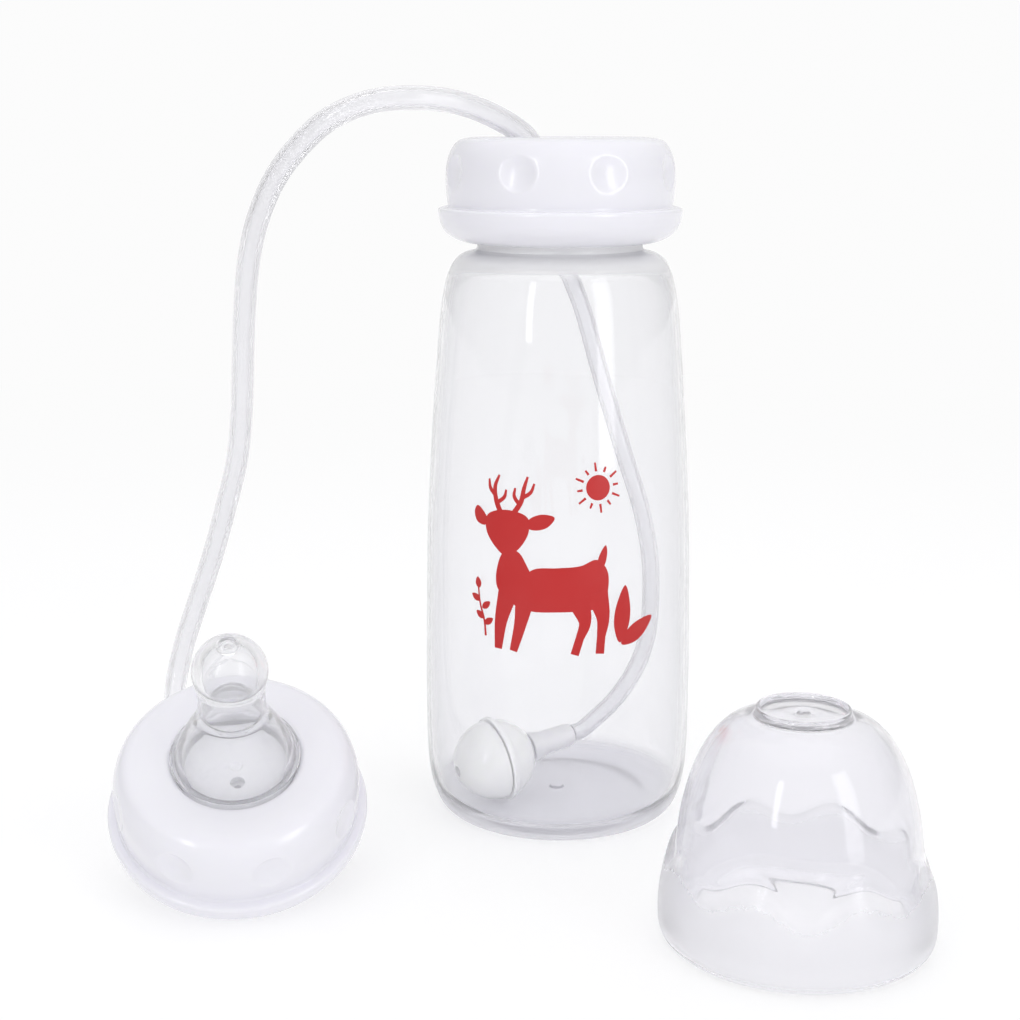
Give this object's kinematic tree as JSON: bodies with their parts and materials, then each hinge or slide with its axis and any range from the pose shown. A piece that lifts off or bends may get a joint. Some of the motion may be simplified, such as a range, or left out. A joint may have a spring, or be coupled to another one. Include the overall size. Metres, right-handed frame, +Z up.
{
  "type": "hands-free feeding bottle",
  "caption": "Clear feeding bottle with a screw collar, weighted straw, feeding hose to a separate nipple unit, and a dome cap standing beside it.",
  "frame": {"origin": "on the supporting surface, under the middle of the layout's box without the hose and straw", "axes": "+Z up along the bottle's axis; +X to the right across the layout, from the nipple unit to the dome cap; +Y away from the nipple unit and the cap"},
  "size_m": [0.1666, 0.1276, 0.1628],
  "materials": {
    "clear_bottle": "clear glossy polypropylene",
    "white_collar": "glossy white polypropylene with a faint lavender tint",
    "insert_white": "satin white polypropylene",
    "soft_seal": "soft milky silicone",
    "hose_silicone": "clear slightly milky silicone",
    "nipple_silicone": "clear glossy silicone",
    "weight_white": "milky white plastic",
    "ferrule_grey": "pale grey-lavender plastic",
    "weight_steel": "stainless steel",
    "cap_clear": "clear dome, frosted skirt"
  },
  "bodies": {
    "bottle": {"bottle_body": "clear_bottle"},
    "lid_insert": {"tube_disc": "insert_white", "disc_gasket": "soft_seal", "tube_connector": "insert_white", "vent_valve": "soft_seal"},
    "lid_collar": {"bottle_collar": "white_collar"},
    "straw": {"straw_tube": "hose_silicone", "straw_ferrule": "ferrule_grey", "weight_shell_inlet": "weight_white", "weight_shell_outlet": "weight_white", "weight_core": "weight_steel"},
    "nipple_unit": {"feed_hose": "hose_silicone", "hose_connector": "insert_white", "nipple_valve": "soft_seal", "nipple_plug": "insert_white"},
    "nipple_body": {"nipple": "nipple_silicone"},
    "nipple_ring": {"nipple_collar": "white_collar"},
    "cap": {"dome_cap": "cap_clear"}
  },
  "joints": [
    {"name": "lid_lift", "type": "slide", "parent": "bottle", "child": "lid_insert", "axis": [0, 0, 1], "range_m": [0, 0.0046]},
    {"name": "collar_turn", "type": "hinge", "parent": "lid_insert", "child": "lid_collar", "pos_m": [0.0112, 0.034, 0.1374], "axis": [0, 0, 1], "range_deg": [0, 450]},
    {"name": "straw_swing", "type": "hinge", "parent": "lid_insert", "child": "straw", "pos_m": [0.0062, 0.034, 0.1406], "axis": [0, 0, 1], "range_deg": [-70, 70]},
    {"name": "hose_swivel", "type": "hinge", "parent": "lid_insert", "child": "nipple_unit", "pos_m": [0.0062, 0.034, 0.146], "axis": [0, 0, 1], "range_deg": [-120, 45]},
    {"name": "nipple_lift", "type": "slide", "parent": "nipple_unit", "child": "nipple_body", "axis": [0.061, -0.4915, 0.8687], "range_m": [0, 0.0046]},
    {"name": "ring_turn", "type": "hinge", "parent": "nipple_body", "child": "nipple_ring", "pos_m": [-0.0561, -0.012, 0.0175], "axis": [0.061, -0.4915, 0.8687], "range_deg": [0, 450]},
    {"name": "cap_lift", "type": "slide", "parent": "bottle", "child": "cap", "axis": [0, 0, 1], "range_m": [0, 0.09]}
  ],
  "couplings": [
    {"joint": "lid_lift", "follows": "collar_turn", "m_per_rad": 0.00057296},
    {"joint": "nipple_lift", "follows": "ring_turn", "m_per_rad": 0.00057296}
  ]
}
